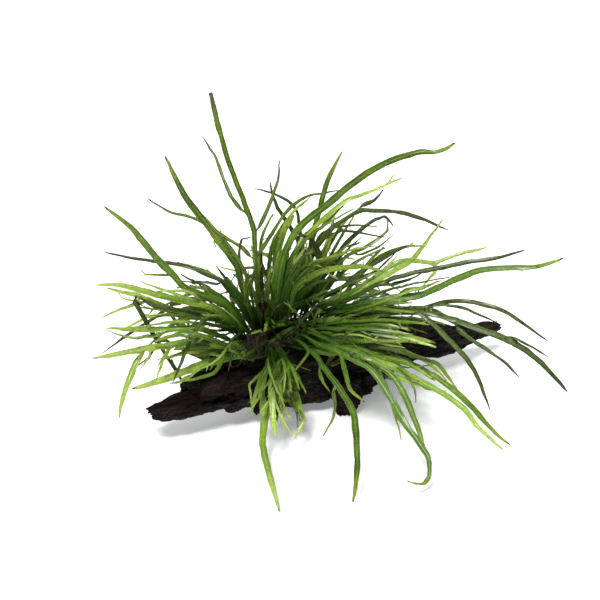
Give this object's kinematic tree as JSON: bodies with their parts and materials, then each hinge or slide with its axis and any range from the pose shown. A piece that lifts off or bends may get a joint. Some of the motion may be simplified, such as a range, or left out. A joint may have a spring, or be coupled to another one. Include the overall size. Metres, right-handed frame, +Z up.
{
  "type": "java fern on driftwood",
  "caption": "Narrow-leaved java fern grown onto a dark slab of driftwood, with fronds that arch out all round; stands on the wood's stubby feet as planting for an aquarium.",
  "frame": {"origin": "middle of the front foot's sole, on the ground", "axes": "+Z up; +X to the right and +Y to the back, as the plant is seen from the front"},
  "size_m": [0.2694, 0.2406, 0.1845],
  "materials": {
    "driftwood": "satin",
    "rhizome": "satin",
    "leaf_pale": "satin",
    "leaf_green": "satin",
    "leaf_dark": "satin"
  },
  "bodies": {
    "root": {"driftwood": "driftwood", "frond_back_left": "leaf_dark", "frond_back_low": "leaf_green", "frond_back_right": "leaf_green", "frond_bent_dark": "leaf_dark", "frond_bow_right": "leaf_green", "frond_crossed_dark": "leaf_dark", "frond_curl": "leaf_green", "frond_curled_hook": "leaf_dark", "frond_dark_arch": "leaf_dark", "frond_dark_spear": "leaf_dark", "frond_dark_spray": "leaf_dark", "frond_front_curved": "leaf_pale", "frond_front_left": "leaf_pale", "frond_front_middle": "leaf_green", "frond_front_right": "leaf_green", "frond_front_slim": "leaf_green", "frond_front_trident": "leaf_pale", "frond_inner_right_a": "leaf_green", "frond_inner_right_b": "leaf_pale", "frond_left_arch": "leaf_green", "frond_left_back": "leaf_dark", "frond_left_bow": "leaf_green", "frond_left_broad": "leaf_pale", "frond_left_crossing": "leaf_dark", "frond_left_droop": "leaf_dark", "frond_left_fork": "leaf_pale", "frond_left_high": "leaf_green", "frond_left_inner_a": "leaf_green", "frond_left_inner_b": "leaf_green", "frond_left_inner_c": "leaf_dark", "frond_left_low": "leaf_pale", "frond_left_pale": "leaf_pale", "frond_left_thin": "leaf_pale", "frond_left_wide": "leaf_pale", "frond_long_arch": "leaf_green", "frond_long_right": "leaf_green", "frond_loop_lower": "leaf_green", "frond_loop_upper": "leaf_dark", "frond_low_right_a": "leaf_green", "frond_low_right_b": "leaf_green", "frond_low_right_c": "leaf_pale", "frond_low_right_d": "leaf_green", "frond_low_right_e": "leaf_pale", "frond_low_right_f": "leaf_green", "frond_olive_arch": "leaf_dark", "frond_pale_blade": "leaf_pale", "frond_pale_fan": "leaf_pale", "frond_pale_point": "leaf_pale", "frond_pale_upright": "leaf_pale", "frond_right_droop": "leaf_dark", "frond_right_fork": "leaf_dark", "frond_tall": "leaf_green", "frond_thin_arc": "leaf_dark", "frond_twisted_tip": "leaf_pale", "frond_upright_right": "leaf_green", "frond_wide_upright": "leaf_green", "rhizome_front": "rhizome", "rhizome_left": "rhizome", "rhizome_right": "rhizome"}
  },
  "joints": []
}
